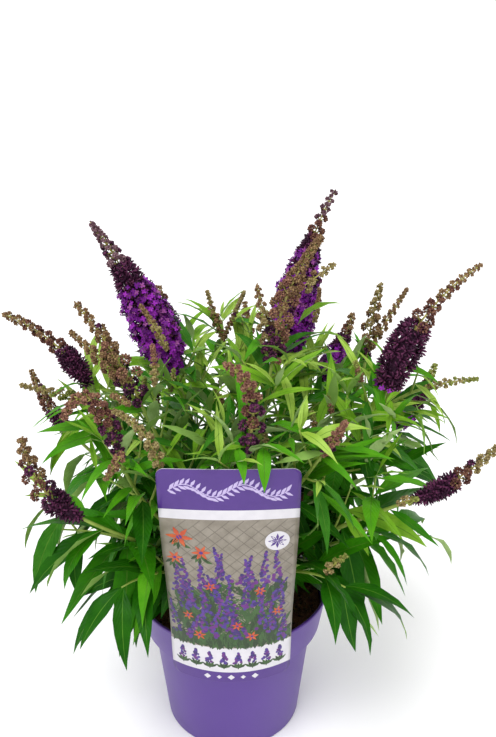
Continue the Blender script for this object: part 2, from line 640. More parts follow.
# a twig bears pairs of leaves, two small ones at its end, and now and then a little spike of buds
twigForm = {
    "lean": 0.85, "longest": 58 * mm, "shortest": 28 * mm, "rise": 0.16, "radii": (1.25 * mm, 0.7 * mm),
    "points": 13, "rootPoints": 4, "nodes": (0.5, 0.93), "fresher": 0.4, "marks": 9, "sides": 6, "rings": 8,
    "leafSize": 0.9, "leafShare": 0.95, "leafShrinks": 0.3, "leafVaries": [0.85, 1.1], "leafLean": 1.0,
    "leafRises": 0.25, "leafBend": 0.9, "leafWide": 0.85, "lowWider": 0.3,
    "endTurn": 0.4, "endLean": 0.45, "endSize": [0.35, 0.55], "endBend": 0.5, "endWide": 0.85,
    "budShare": 0.14, "budsFrom": 250 * mm, "budLength": [12, 22], "budGirth": 3.4,
    "budTones": ("rose", "tan", "brown"),
}
# a spray's tone is deep green low down and inside, and fresher towards the top and the tips
sprayForm = {
    "lowTone": 0.45, "rise": 3.4, "power": 1.8, "varies": 0.65, "palest": 4, "dull": 5, "dullShare": 0.12,
}
# ways of fitting a leaf or twig in, best first: share of its length, extra turn, extra lean
fits = [
    (1, 0, 0), (1, 0.45, 0), (1, -0.45, 0), (0.94, 0, -0.3), (0.92, 0.3, 0.3), (0.85, 0.8, 0),
    (0.85, -0.8, 0), (0.76, 0, -0.5), (0.76, 0.5, -0.3),
    (0.66, -0.5, -0.3), (0.58, 1.1, 0.2), (0.5, 0, -0.3),
]
# leaves set one by one over the label's top and on the crown: root and tip in millimetres, turn of the arc,
# width as a share of the length, and roll for one that shows its back
setLeaves = [
    {"root": (6, -104, 356), "tip": (13, -128, 335), "bend": 1.4, "wide": 0.26, "tone": 2},
    {"root": (27, -104, 357), "tip": (29, -130, 329), "bend": 1.4, "wide": 0.28, "tone": 2},
    {"root": (17, -101, 354), "tip": (-16, -114, 350), "bend": 1.0, "wide": 0.2, "tone": 3},
    {"root": (20, -101, 354), "tip": (54, -112, 348), "bend": 1.1, "wide": 0.2, "tone": 3},
    {"root": (59, -6, 425), "tip": (97, 4, 441), "bend": 1.3, "wide": 0.24, "tone": 3},
    {"root": (-62, -70, 398), "tip": (-74, -74, 418), "bend": 0.4, "wide": 0.3, "tone": 3},
    {"root": (-60, -70, 398), "tip": (-46, -74, 422), "bend": 0.3, "wide": 0.22, "tone": 4},
    {"root": (-13, 60, 398), "tip": (-53, 50, 427), "bend": 0.8, "wide": 0.19, "tone": 3},
    {"root": (-10, 60, 390), "tip": (-56, 45, 418), "bend": 0.6, "wide": 0.17, "tone": 2},
    {"root": (-14, 60, 404), "tip": (12, 60, 436), "bend": 0.5, "wide": 0.17, "tone": 3},
    {"root": (-1, 60, 404), "tip": (32, 58, 399), "bend": 0.7, "wide": 0.34, "tone": 1},
    {"root": (-4, 59, 364), "tip": (-52, 5, 386), "bend": 1.1, "wide": 0.2, "tone": 3},
    {"root": (-1, -11, 360), "tip": (-70, -30, 365), "bend": 1.1, "wide": 0.18, "tone": 3},
    {"root": (47, 14, 324), "tip": (126, -20, 354), "bend": 1.2, "wide": 0.26, "tone": 1},
    {"root": (29, -54, 349), "tip": (73, -110, 359), "bend": 1.0, "wide": 0.17, "tone": 2},
    {"root": (52, -84, 341), "tip": (102, -105, 352), "bend": 0.7, "wide": 0.2, "tone": 2},
    {"root": (73, -102, 345), "tip": (134, -105, 346), "bend": 0.5, "wide": 0.19, "tone": 2},
    {"root": (79, -105, 352), "tip": (34, -118, 347), "bend": 0.4, "wide": 0.17, "tone": 4, "roll": 2.6},
    {"root": (-8, -70, 332), "tip": (-57, -100, 374), "bend": 0.5, "wide": 0.16, "tone": 3, "roll": 2.6},
]
# small side spikes set one by one: points in millimetres, girth, tones, shoot
setSpikes = [
    (((-54, -26, 409), (-66, -27, 436), (-75, -26, 449)), 5.5, ("tan", "brown"), "left_plume"),
    (((-61, -72, 396), (-59, -74, 417), (-61, -76, 433)), 4.6, ("tan", "rose"), "left_buds"),
    (((-55, -108, 334), (-59, -114, 378), (-89, -112, 392)), 7.5, ("tan", "tan"), "left_front_arch"),
    (((-84, -112, 356), (-89, -116, 347), (-98, -118, 334)), 6.5, ("rose", "brown"), "left_front_arch"),
    (((-76, -112, 397), (-84, -112, 404), (-90, -112, 405)), 4.5, ("brown", "brown"), "left_front_arch"),
    (((76, 26, 416), (79, 26, 433), (80, 28, 447)), 4.4, ("tan", "brown"), "back_plume"),
    (((80, -116, 244), (88, -119, 256), (96, -118, 262)), 6.5, ("tan", "green"), "front_right_skirt"),
    (((140, -96, 298), (148, -98, 304), (156, -99, 305)), 6.0, ("tan", "green"), "right_low_spire"),
]
leaves, twigs, spikes = [], [], []


def tryPoints(root, way, length, bend):
    shares = np.array(leafForm["tryAt"])
    rib, _, level = alongLeaf(root, way, length, bend, shares)
    wide = np.interp(shares, [0, leafForm["tryWidest"], 1], [0, 1, 0])[:, None]
    half = wide * leafForm["tryHalf"] * length
    return np.concatenate([rib - level * half, rib, rib + level * half])


def placeLeaf(own, rng, root, along, turn, lean, length, bend, tone, wide=1.0, hang=0.0,
              clear=room["clear"]):
    turn, lean = turn + rng.normal(0, leafVaries["turn"]), lean + rng.normal(0, leafVaries["lean"])
    hang, bend = hang * rng.uniform(*leafVaries["hang"]), bend * rng.uniform(*leafVaries["bend"])
    for shorter, turnedBy, leantBy in fits:
        way = unit(leaning(along, turn + turnedBy, lean + leantBy) - np.array([0, 0, hang]))
        size = length * shorter
        toDown = math.acos(max(-1, min(1, -way[2])))
        arc = max(leafForm["leastBend"], min(bend, leafForm["mostBend"] * toDown))
        if inSpace(tryPoints(root, way, size, arc), own, clear):
            leaves.append({
                "root": root - way * leafForm["sinksIn"], "way": way, "length": size, "bend": arc,
                "width": rng.uniform(*leafVaries["width"]) * wide, "bow": rng.normal(0, leafVaries["bow"]),
                "roll": rng.normal(0, leafVaries["roll"]), "twist": rng.normal(0, leafVaries["twist"]),
                "phase": rng.uniform(*anyTurn), "fold": leafForm["fold"] * rng.uniform(*leafVaries["fold"]),
                "tone": tone, "under": int(rng.integers(2)), "mass": own["name"],
            })
            return


def sprayTone(rng, place, young):
    form = sprayForm
    height = np.clip((place[2] - room["floor"]) / (room["top"] - room["floor"]), 0, 1)
    pick = form["lowTone"] + form["rise"] * height ** form["power"] + young + rng.normal(0, form["varies"])
    if rng.random() < form["dullShare"]:
        return form["dull"]
    return int(np.clip(round(pick), 0, form["palest"]))


def addSpike(mass, line, girth, tones, **more):
    # a small spike that bears buds only
    spikes.append({"mass": mass, "line": line, "girth": girth, "tones": tones, "open": 0, "closed": 0,
                   **more})


def growTwig(own, rng, root, along, turn, length, size, lowness):
    form = twigForm
    for shorter, turnedBy, leantBy in fits:
        way = leaning(along, turn + turnedBy, form["lean"] + leantBy)
        reach = length * shorter
        shares = np.linspace(0, 1, form["marks"])[:, None]
        curve = root + way * reach * shares + np.array([0, 0, form["rise"] * reach]) * shares**2
        line = evenly(curve, form["points"])
        if inSpace(line[form["rootPoints"] :], own):
            leafTwig(own, rng, line, size * form["leafSize"], lowness)
            return True
    return False


def leafTwig(own, rng, line, size, lowness):
    form = twigForm
    twigs.append({"line": line, "radii": form["radii"], "mass": own["name"]})
    tone = sprayTone(rng, line[-1], form["fresher"])
    spin = rng.uniform(0, math.pi)
    wide = form["leafWide"] + form["lowWider"] * lowness
    hang = growth["hang"] + (growth["lowHang"] - growth["hang"]) * lowness
    for k, share in enumerate(form["nodes"]):
        length = size * (form["leafShare"] - form["leafShrinks"] * share) * rng.uniform(*form["leafVaries"])
        lean = form["leafLean"] - form["leafRises"] * share
        for side in (0, math.pi):
            placeLeaf(own, rng, placeOn(line, share), wayOn(line, share), spin + k * math.pi / 2 + side,
                      lean, length, form["leafBend"], tone, wide, hang)
    for side in (form["endTurn"], form["endTurn"] + math.pi):
        placeLeaf(own, rng, line[-1], wayOn(line, 1), spin + side, form["endLean"],
                  size * rng.uniform(*form["endSize"]), form["endBend"], min(sprayForm["palest"], tone + 1),
                  form["endWide"])
    if rng.random() < form["budShare"] and line[-1][2] > form["budsFrom"]:
        tip = line[-1] + wayOn(line, 1) * rng.uniform(*form["budLength"]) * mm
        kind = form["budTones"][int(rng.integers(len(form["budTones"])))]
        addSpike(own["name"], evenly(np.array([line[-1], tip])), form["budGirth"], (kind, "green"))


def growShaded(own, rng, limb, first, last, spacing):
    for k, share in enumerate(np.arange(first, last, spacing / lengthOf(limb))):
        root, along = placeOn(limb, share), wayOn(limb, share)
        if math.hypot(root[0], root[1]) > shaded["reach"]:
            break
        turn = k * math.pi / 2 + shaded["turn"]
        for side in (turn, turn + math.pi):
            placeLeaf(own, rng, root, along, side, shaded["lean"],
                      leafForm["longest"] * rng.uniform(*shaded["size"]), shaded["bend"],
                      int(rng.integers(shaded["tones"])), shaded["wide"], shaded["hang"],
                      room["innerClear"])


def growMass(own, index):
    rng = np.random.default_rng(seeds["growth"] + index)
    line = own["twig"]
    lowness = float(np.interp(own["base"][2] * mm, [growth["lowTo"], growth["lowFrom"]], [1, 0]))
    blend = lambda high, low: high + (low - high) * lowness
    nodes = round(lengthOf(line) / blend(growth["nodeSpacing"], growth["lowSpacing"]))
    nodes = max(growth["fewestNodes"], nodes)
    # a shoot that bears no flower spike thins out into its last leaves
    end = growth["spikeFoot"] if "tip" in own else growth["leafyEnd"]
    twigs.append({"line": line, "radii": (growth["radius"], end), "mass": own["name"]})
    tone = sprayTone(rng, line[-1], 0)
    longest, shortest = leafForm["longest"], leafForm["shortest"]
    for k in range(nodes):
        share = growth["firstNode"] + (growth["lastNode"] - growth["firstNode"]) * k / (nodes - 1)
        root, along = placeOn(line, share), wayOn(line, share)
        quarter = (k % 2) * math.pi / 2 + rng.uniform(0, growth["quarterVaries"])
        lean, bend = (np.interp(share, [0, 1], growth[key]) for key in ("lean", "bend"))
        size = blend(np.interp(share, [0, 1], [longest, shortest]), longest)
        size *= rng.uniform(*growth["sizeVaries"])
        for side, turn in enumerate((quarter, quarter + math.pi)):
            inTurn = 0 < k < nodes - 1 and (k + side) % 2 == 0
            branches = inTurn and rng.random() > growth["lowBare"] * lowness
            reach = np.interp(share, [0, 1], [twigForm["longest"], twigForm["shortest"]])
            if branches and growTwig(own, rng, root, along, turn, reach, size, lowness):
                continue
            hang = blend(growth["hang"] * (1 - share), growth["lowHang"])
            wide = blend(np.interp(share, [0, 1], growth["wide"]), growth["lowWide"])
            arched = bend + growth["lowBend"] * lowness
            placeLeaf(own, rng, root, along, turn, lean, size, arched, tone, wide, hang)
    growShaded(own, rng, own["bough"], shaded["boughFrom"], 1, shaded["spacing"])
    growShaded(own, rng, line, shaded["stemFrom"], shaded["stemTo"], 2 * shaded["spacing"])
    if lowness == 1:
        placeLeaf(own, rng, line[-1], wayOn(line, 1), 0, lastLeaf["lean"], longest * lastLeaf["size"],
                  lastLeaf["bend"], tone, lastLeaf["wide"], lastLeaf["hang"])


def setLeaf(spec):
    # a leaf from its root and tip: the arc's chord gives its first way and its length
    root, tip, bend = np.array(spec["root"]) * mm, np.array(spec["tip"]) * mm, spec["bend"]
    chord = unit(tip - root)
    below = unit(chord * chord[2] - np.array([0, 0, 1]))
    leaves.append({
        "root": root, "way": chord * math.cos(bend / 2) - below * math.sin(bend / 2), "bend": bend,
        "length": np.linalg.norm(tip - root) * (bend / 2) / math.sin(bend / 2), "width": spec["wide"],
        "bow": 0.02, "roll": spec.get("roll", 0), "twist": 0.1, "phase": 1.0, "fold": leafForm["fold"],
        "tone": spec["tone"], "under": 0, "mass": "front_spire",
    })


def growBush():
    for index, shoot in enumerate(shoots):
        growMass(shoot, index)
        if "spike" in shoot:
            spikes.append({**shoot, "line": shoot["spike"], "mass": shoot["name"]})
            for line, (_, _, tones) in zip(shoot["sides"], shoot.get("beside", [])):
                addSpike(shoot["name"], line, shoot["girth"] * spikeForm["sideShare"], tones)
    for points, girth, tones, mass in setSpikes:
        addSpike(mass, bent(*(np.array(point) * mm for point in points)), girth, tones, purple=0)
    for spec in setLeaves:
        setLeaf(spec)


growBush()
print(f"grown: {len(leaves)} leaves, {len(twigs)} twigs, {len(spikes)} spikes")


def massNodes(items):
    return sorted({f"mass_{item['mass']}" for item in items})


def buildLeaves():
    template = leafTemplate()
    ribSlot, backSlot = len(leafTops), len(leafTops) + 1
    tones = np.array([leaf["tone"] for leaf in leaves])
    backs = np.array([leaf["under"] for leaf in leaves]) + backSlot
    slots = slotsFor(template, tones, np.full(len(leaves), ribSlot), backs)
    skins = [*leafTops, leafRib, *leafBacks]
    # the rim of a blade is a sharp edge
    joinedPiece("leaves", [(template, bendLeaves(template, leaves), slots)], skins, "foliage",
                massNodes(leaves), sharpFrom=1.5)


buildLeaves()


# tubes: twigs, stalks and boughs

def rodTemplate(sides, rings):
    # a closed rod of radius 1 from z 0 to z 1
    bm = bmesh.new()
    bmesh.ops.create_cone(bm, cap_ends=True, segments=sides, radius1=1, radius2=1, depth=1)
    upright = [edge for edge in bm.edges if abs(edge.verts[0].co.z - edge.verts[1].co.z) > 0.5]
    if rings > 1:
        bmesh.ops.subdivide_edges(bm, edges=upright, cuts=rings - 1, use_grid_fill=True)
    bmesh.ops.translate(bm, verts=bm.verts, vec=(0, 0, 0.5))
    return templateOf(bm)


def bendRod(template, line, radii):
    x, y, share = template["points"].T
    first, second = framesOn(line, share)
    radius = np.interp(share, np.linspace(0, 1, len(radii)), radii)[:, None]
    return placeOn(line, share) + first * (x[:, None] * radius) + second * (y[:, None] * radius)


def rodBatch(template, lines, radii, slots):
    copies = np.stack([bendRod(template, line, radius) for line, radius in zip(lines, radii)])
    return template, copies, slotsFor(template, np.array(slots))


def buildTwigs():
    lines, radii = [twig["line"] for twig in twigs], [twig["radii"] for twig in twigs]
    rod = rodTemplate(twigForm["sides"], twigForm["rings"])
    batch = rodBatch(rod, lines, radii, [0] * len(twigs))
    joinedPiece("twigs", [batch], [greenShoot], "foliage", massNodes(twigs))


buildTwigs()


# flower spikes: florets and buds in little clusters round a stalk

# a floret's own parts are shares of its radius: lobe is one lobe's outline, from notch to notch
floretForm = {
    "radius": 2.7 * mm, "radiusVaries": [0.75, 1.1], "area": 8.2 * mm * mm, "lobes": 4,
    "lobe": [0.42, 0.95, 1.0, 0.95], "lobeLift": 0.12, "notchDrop": 0.02, "eye": 0.15, "throatDepth": 0.12,
    "tube": (0.14, 0.24), "tubeDrop": 0.62, "tubeStretch": 1.6, "tubeTone": 2,
    # petal tones, as often as they are dealt
    "tones": [0, 0, 0, 1, 1, 1, 2, 3],
    "out": 1.2, "outVaries": 0.3, "outLimits": (0.4, 1.9), "shareVaries": 0.012, "turnVaries": 0.2,
    "lumps": 0.1, "lumpLength": 3.4 * mm, "reachVaries": [0.8, 1.0], "rootOut": 1.45,
    # the share that is still closed, at the foot and more of it at the top
    "stillClosed": 0.14, "closedAbove": 0.4, "closedSink": 5 * mm, "closedShare": 0.8,
}
closedForm = {
    "length": 8 * mm, "radius": 1.15 * mm, "radiusVaries": [0.8, 1.1], "lengthVaries": [0.85, 1.1],
    "perTuft": 14, "deepFewer": 4, "apart": 2.9 * mm, "apartBy": ([2.6 * mm, 4.2 * mm], [1.0, 1.38]),
    "deepBelow": 0.04, "deepReach": 0.78, "reachVaries": [0.88, 1.04], "leastFoot": 0.1,
    "deepSpread": -0.1, "spread": 0.25, "egg": (5, 3, 0.42),
}
# a pair of rows gives the spike's radius and what belongs to it. egg is sides, rings and waist
budForm = {
    "radius": ([2.6 * mm, 6 * mm, 12 * mm], [0.85 * mm, 1.2 * mm, 1.25 * mm]),
    "length": ([2.6 * mm, 6 * mm, 12 * mm], [1.8 * mm, 2.9 * mm, 3.1 * mm]),
    "bunch": 0.4, "largest": 5.2 * mm, "apart": ([2.4 * mm, 4.5 * mm, 13 * mm], [1.4, 1.75, 1.5]),
    "fill": 2.6, "least": 7, "most": 30, "spread": -0.45, "sizeVaries": [0.8, 1.12], "sinks": 0.8,
    "end": 0.985, "reachVaries": [0.84, 1.04], "purple": 0.08,
    "pointBuds": 12, "pointStart": 0.2, "pointStep": 0.35, "pointVaries": 0.4, "egg": (5, 3, 0.75),
}
# rings of bunches: how many stand in one by the spike's radius, and how far out they lean
ringForm = {
    "twoBelow": 7 * mm, "threeBelow": 11 * mm, "turnVaries": 0.12, "out": 1.15, "closesUp": 0.35,
    "stepVaries": [0.92, 1.08],
}
# a spike's stalk, its bunches' own stalks, and the dark core of throats deep between the florets
stalkForm = {
    "thinnest": 0.3, "perGirth": 0.08, "thickest": 1.3, "tip": 0.5 * mm, "bunch": 0.7 * mm,
    "core": 0.42, "coreFrom": 0.1, "coreFoot": 0.01, "coreTapers": ([0.85, 1], [1, 0.3]), "coreMarks": 13,
}
# sides and rings of each kind of stalk
stalkShapes = {"main": (6, 10), "bunch": (3, 1), "core": (8, 12)}
goldenTurn = 2.39996  # florets round a stalk follow each other by this angle
florets = {"open": [], "closed": [], "bud": []}
rods = {"main": [], "bunch": [], "core": []}

spikeSkins = [*petals, petalEye]
slotOf = {}
for kind, skins in budSkins.items():
    slotOf[kind] = range(len(spikeSkins), len(spikeSkins) + len(skins))
    spikeSkins += skins


def floretTemplate():
    # four rounded lobes round a throat, on a slim tube; z is outward
    form = floretForm
    bm = bmesh.new()
    perLobe = len(form["lobe"])
    steps = form["lobes"] * perLobe
    for vert in bmesh.ops.create_circle(bm, segments=steps, radius=1)["verts"]:
        turn = math.atan2(vert.co.y, vert.co.x) / (2 * math.pi) * steps
        place = round(turn) % perLobe
        shift = form["lobeLift"] if place else -form["notchDrop"]
        vert.co = vert.co * form["lobe"][place] + Vector((0, 0, shift))
    throat = bmesh.ops.extrude_edge_only(bm, edges=bm.edges[:])["geom"]
    inner = [item for item in throat if isinstance(item, bmesh.types.BMVert)]
    for vert in inner:
        vert.co = vert.co.normalized() * form["eye"]
        vert.co.z = -form["throatDepth"]
    innerEdges = [edge for edge in bm.edges if all(vert in inner for vert in edge.verts)]
    for face in bmesh.ops.contextual_create(bm, geom=innerEdges)["faces"]:
        face.material_index = 1
    foot, mouth = form["tube"]
    tube = bmesh.ops.create_cone(bm, cap_ends=False, segments=5, radius1=foot, radius2=mouth,
                                 depth=1)["verts"]
    bmesh.ops.translate(bm, verts=tube, vec=(0, 0, -form["tubeDrop"]))
    for vert in tube:
        vert.co.z *= form["tubeStretch"]
    for face in {face for vert in tube for face in vert.link_faces}:
        face.material_index = 2
    bmesh.ops.recalc_face_normals(bm, faces=bm.faces)
    return templateOf(bm)


def budTemplate(sides, rings, waist):
    # an egg of length 1 on z, slimmer towards its root
    bm = bmesh.new()
    bmesh.ops.create_uvsphere(bm, u_segments=sides, v_segments=rings, radius=1)
    for vert in bm.verts:
        share = (vert.co.z + 1) / 2
        vert.co.x *= waist + (1 - waist) * share
        vert.co.y *= waist + (1 - waist) * share
        vert.co.z = share
    return templateOf(bm)


def aimed(template, places, ways, widths, lengths, spins):
    # copies of a shape with its z along each way
    first = levelAcross(ways)
    second = np.cross(ways, first)
    cos, sin = np.cos(spins)[:, None], np.sin(spins)[:, None]
    right, ahead = first * cos + second * sin, second * cos - first * sin
    x, y, z = (template["points"][None, :, i, None] for i in range(3))
    across = (right[:, None] * x + ahead[:, None] * y) * widths[:, None, None]
    return places[:, None] + across + ways[:, None] * z * lengths[:, None, None]


def roundLine(line, share, turn, out):
    # a direction that stands out from the line by an angle from it
    first, second = framesOn(line, share)
    along = wayOn(line, share)
    square = first * np.cos(turn)[:, None] + second * np.sin(turn)[:, None]
    return unit(along * np.cos(out)[:, None] + square * np.sin(out)[:, None])


def fanOf(out, count, least, rng):
    # directions spread evenly about one, round to where their cosine with it is least
    first = levelAcross(out)
    second = np.cross(out, first)
    cos = np.clip(1 - (np.arange(count) + 0.5) / count * (1 - least) + rng.normal(0, 0.05, count), -1, 1)
    turn = np.arange(count) * goldenTurn + rng.uniform(*anyTurn)
    sin = np.sqrt(1 - cos**2)
    square = first * np.cos(turn)[:, None] + second * np.sin(turn)[:, None]
    return out * cos[:, None] + square * sin[:, None]


def bunchesOn(rng, line, start, end, widthAt, apart, around=None):
    # places of the bunches: rings round the line, each ring turned against the last, closer at the point
    form = ringForm
    share, node = start, 0
    while share < end:
        radius = float(widthAt(share))
        ring = around or (2 if radius < form["twoBelow"] else 3 if radius < form["threeBelow"] else 4)
        out = np.array([form["out"] - form["closesUp"] * share])
        for j in range(ring):
            turn = (node * 0.5 + j) * 2 * math.pi / ring + rng.normal(0, form["turnVaries"])
            yield share, roundLine(line, np.array([share]), np.array([turn]), out)[0]
        share += apart(radius) * rng.uniform(*form["stepVaries"]) / lengthOf(line)
        node += 1


def addStalk(line, girth, start, widthAt):
    form = stalkForm
    radius = min(form["thickest"], form["thinnest"] + girth * form["perGirth"]) * mm
    rods["main"].append((line, (radius, form["tip"])))
    if start > form["coreFrom"]:
        steps = np.linspace(form["coreFoot"], start, form["coreMarks"])
        girths = widthAt(steps) * form["core"] * np.interp(steps / start, *form["coreTapers"])
        rods["core"].append((evenly(placeOn(line, steps)), girths))


def addOpenFlorets(rng, line, opened, widthAt):
    # open florets, thick all round, with some still closed among them
    form, length = floretForm, lengthOf(line)
    grid = np.linspace(0, opened, 60)
    count = int(2 * math.pi * widthAt(grid).mean() * opened * length / form["area"])
    if not count:
        return
    weight = np.cumsum(widthAt(grid))
    share = np.interp((np.arange(count) + 0.5) / count, weight / weight[-1], grid)
    share = np.clip(share + rng.normal(0, form["shareVaries"], count), 0, 1)
    turn = np.arange(count) * goldenTurn + rng.normal(0, form["turnVaries"], count)
    way = roundLine(line, share, turn, np.clip(rng.normal(form["out"], form["outVaries"], count),
                                               *form["outLimits"]))
    waves = np.sin(share * length / form["lumpLength"]) * np.sin(turn * 3)
    reach = widthAt(share) * (1 - form["lumps"] + form["lumps"] * waves)
    reach = reach * rng.uniform(*form["reachVaries"], count)
    outward = roundLine(line, share, turn, np.full(count, form["rootOut"]))
    place = placeOn(line, share) + outward * reach[:, None]
    for i in range(count):
        if rng.random() < form["stillClosed"] + form["closedAbove"] * (share[i] / opened) ** 4:
            florets["closed"].append((place[i] - way[i] * form["closedSink"], way[i], closedForm["radius"],
                                      closedForm["length"] * form["closedShare"], slotOf["violet"][i % 2]))
        else:
            florets["open"].append((place[i], way[i], form["radius"] * rng.uniform(*form["radiusVaries"]),
                                    form["radius"], int(rng.choice(form["tones"]))))


def addTufts(rng, line, opened, closed, widthAt):
    # closed florets in tufts that stand out like bristles, and shorter ones deep among the open florets
    form = closedForm
    apart = lambda radius: form["apart"] * np.interp(radius, *form["apartBy"])
    for share, out in bunchesOn(rng, line, 0, closed, widthAt, apart):
        deep = share < opened - form["deepBelow"]
        reach = float(widthAt(share)) * (form["deepReach"] if deep else rng.uniform(*form["reachVaries"]))
        foot = placeOn(line, share) + out * max(reach - form["length"], form["leastFoot"] * reach)
        count = form["perTuft"] - form["deepFewer"] * deep
        for way in fanOf(out, count, form["deepSpread"] if deep else form["spread"], rng):
            florets["closed"].append((foot, way, form["radius"] * rng.uniform(*form["radiusVaries"]),
                                      min(form["length"], reach) * rng.uniform(*form["lengthVaries"]),
                                      slotOf["violet"][int(rng.integers(2))]))


def addBunches(rng, spike, start, widthAt):
    # bunches of buds, each on its own stalk
    form, line = budForm, spike["line"]
    ballAt = lambda radius: min(spike.get("bunch", form["bunch"]) * radius, form["largest"])
    apart = lambda radius: ballAt(radius) * np.interp(radius, *form["apart"]) * spike.get("loose", 1)
    for share, out in bunchesOn(rng, line, start, form["end"], widthAt, apart, spike.get("around", 2)):
        radius = float(widthAt(share))
        ball = ballAt(radius)
        left = (1 - share) / (1 - start)
        young = rng.random() < (share - start) / (1 - start) * 2 - 0.5
        turned = rng.random() < spike.get("purple", form["purple"]) * 3 * left**3
        tones = slotOf["violet" if turned else spike["tones"][1 if young else 0]]
        foot = placeOn(line, share)
        centre = foot + out * (radius - ball) * rng.uniform(*form["reachVaries"])
        rods["bunch"].append((evenly(np.array([foot, centre]), 5), [stalkForm["bunch"]]))
        wide = np.interp(radius, *form["radius"])
        long = np.interp(radius, *form["length"])
        count = int(np.clip(form["fill"] * (ball / wide) ** 2, form["least"], form["most"]))
        for way in fanOf(out, count, form["spread"], rng):
            size = rng.uniform(*form["sizeVaries"])
            florets["bud"].append((centre + way * max(0, ball - form["sinks"] * long), way, wide * size,
                                   long * size, tones[int(rng.integers(len(tones)))]))


def addPoint(rng, spike):
    # the point itself, a knot of the smallest buds
    form, line = budForm, spike["line"]
    end = wayOn(line, 1)
    for k in range(form["pointBuds"]):
        way = unit(end + rng.normal(0, form["pointVaries"], 3))
        place = line[-1] - end * (form["pointStart"] + k * form["pointStep"]) * mm
        florets["bud"].append((place, way, form["radius"][1][0], form["length"][1][0],
                               slotOf[spike["tones"][1]][k % 2]))


def dressSpikes():
    for number, spike in enumerate(spikes):
        rng = np.random.default_rng(seeds["spikes"] + number)
        line, opened, closed = spike["line"], spike["open"], spike["closed"]
        shape = spike.get("shape", spikeForm["shape"])
        widthAt = lambda share: spikeRadius(spike["girth"], share, shape)
        start = max(closed, opened)
        addStalk(line, spike["girth"], start, widthAt)
        addOpenFlorets(rng, line, opened, widthAt)
        addTufts(rng, line, opened, closed, widthAt)
        addBunches(rng, spike, start, widthAt)
        addPoint(rng, spike)


def floretBatch(shape, rows):
    places, ways, widths, lengths, slots = (np.array(column) for column in zip(*rows))
    spins = np.random.default_rng(seeds["florets"]).uniform(*anyTurn, len(rows))
    copies = aimed(shape, places, ways, widths, lengths, spins)
    eye, tube = np.full(len(rows), len(petals)), np.full(len(rows), floretForm["tubeTone"])
    return shape, copies, slotsFor(shape, slots, eye, tube)


def joinSpikes():
    nodes = massNodes(spikes)
    openBatch = floretBatch(floretTemplate(), florets["open"])
    joinedPiece("open_florets", [openBatch], spikeSkins, "foliage", nodes)
    closedBatch = floretBatch(budTemplate(*closedForm["egg"]), florets["closed"])
    joinedPiece("closed_florets", [closedBatch], spikeSkins, "foliage", nodes)
    shape, copies, slots = floretBatch(budTemplate(*budForm["egg"]), florets["bud"])
    half = len(copies) // 2
    joinedPiece("buds_left", [(shape, copies[:half], slots[:half])], spikeSkins, "foliage", nodes)
    joinedPiece("buds_right", [(shape, copies[half:], slots[half:])], spikeSkins, "foliage", nodes)
    batches = [
        rodBatch(rodTemplate(*stalkShapes[kind]), *zip(*rows), [int(kind == "core")] * len(rows))
        for kind, rows in rods.items()
    ]
    joinedPiece("flower_stalks", batches, [flowerStalk, budSkins["violet"][0]], "foliage", nodes)


dressSpikes()
joinSpikes()
print("flower spikes dressed")


# turned and other whole shells

def turnedShell(bm, profile, steps):
    # a closed shell from a profile of radius and height
    verts = [bm.verts.new((radius, 0, height)) for radius, height in profile]
    edges = [bm.edges.new(pair) for pair in zip(verts, verts[1:])]
    bmesh.ops.spin(bm, geom=verts + edges, cent=(0, 0, 0), axis=(0, 0, 1), angle=2 * math.pi, steps=steps,
                   use_merge=True)
    bmesh.ops.remove_doubles(bm, verts=bm.verts, dist=1e-6)
    bmesh.ops.dissolve_degenerate(bm, edges=bm.edges, dist=1e-7)
    bmesh.ops.recalc_face_normals(bm, faces=bm.faces)


def shellPiece(name, bm, materials, slot, node):
    mesh = bpy.data.meshes.new(name)
    bm.to_mesh(mesh)
    bm.free()
    for material in materials:
        mesh.materials.append(material)
    mesh.polygons.foreach_set("use_smooth", np.full(len(mesh.polygons), True))
    return finishPiece(bpy.data.objects.new(name, mesh), slot, node)


# stem and boughs, with bark relief in the mesh: long ridges, finer on the boughs

barkForm = {
    "stumpSteps": 48, "headSteps": 16, "headFrom": -0.45, "longestEdge": 5 * mm,
    "stumpGrain": (260, 260, 60), "stumpRelief": 0.9, "stumpSinks": 0.5,
    "boughSides": 12, "boughRings": 40, "boughGrain": (900, 900, 160), "boughRelief": 0.22,
}


def stumpTemplate():
    form, bark = stemForm, barkForm
    bm = bmesh.new()
    head = [(form["headRadius"] * math.cos(a), form["headCentre"] + form["headRadius"] * math.sin(a))
            for a in np.linspace(bark["headFrom"], math.pi / 2, bark["headSteps"])]
    profile = [(0, form["foot"]), (form["flareRadius"], form["foot"])]
    profile += [(form["neckRadius"], form["foot"] + form["neckRise"]), *head]
    profile[-1] = (0, profile[-1][1])
    turnedShell(bm, profile, bark["stumpSteps"])
    coarse = [edge for edge in bm.edges if edge.calc_length() > bark["longestEdge"]]
    bmesh.ops.subdivide_edges(bm, edges=coarse, cuts=2)
    for vert in bm.verts:
        strips = noise.noise(Vector(place * grain for place, grain in zip(vert.co, bark["stumpGrain"])))
        vert.co += vert.normal * (strips * bark["stumpRelief"] * mm - bark["stumpSinks"] * mm)
    return templateOf(bm)


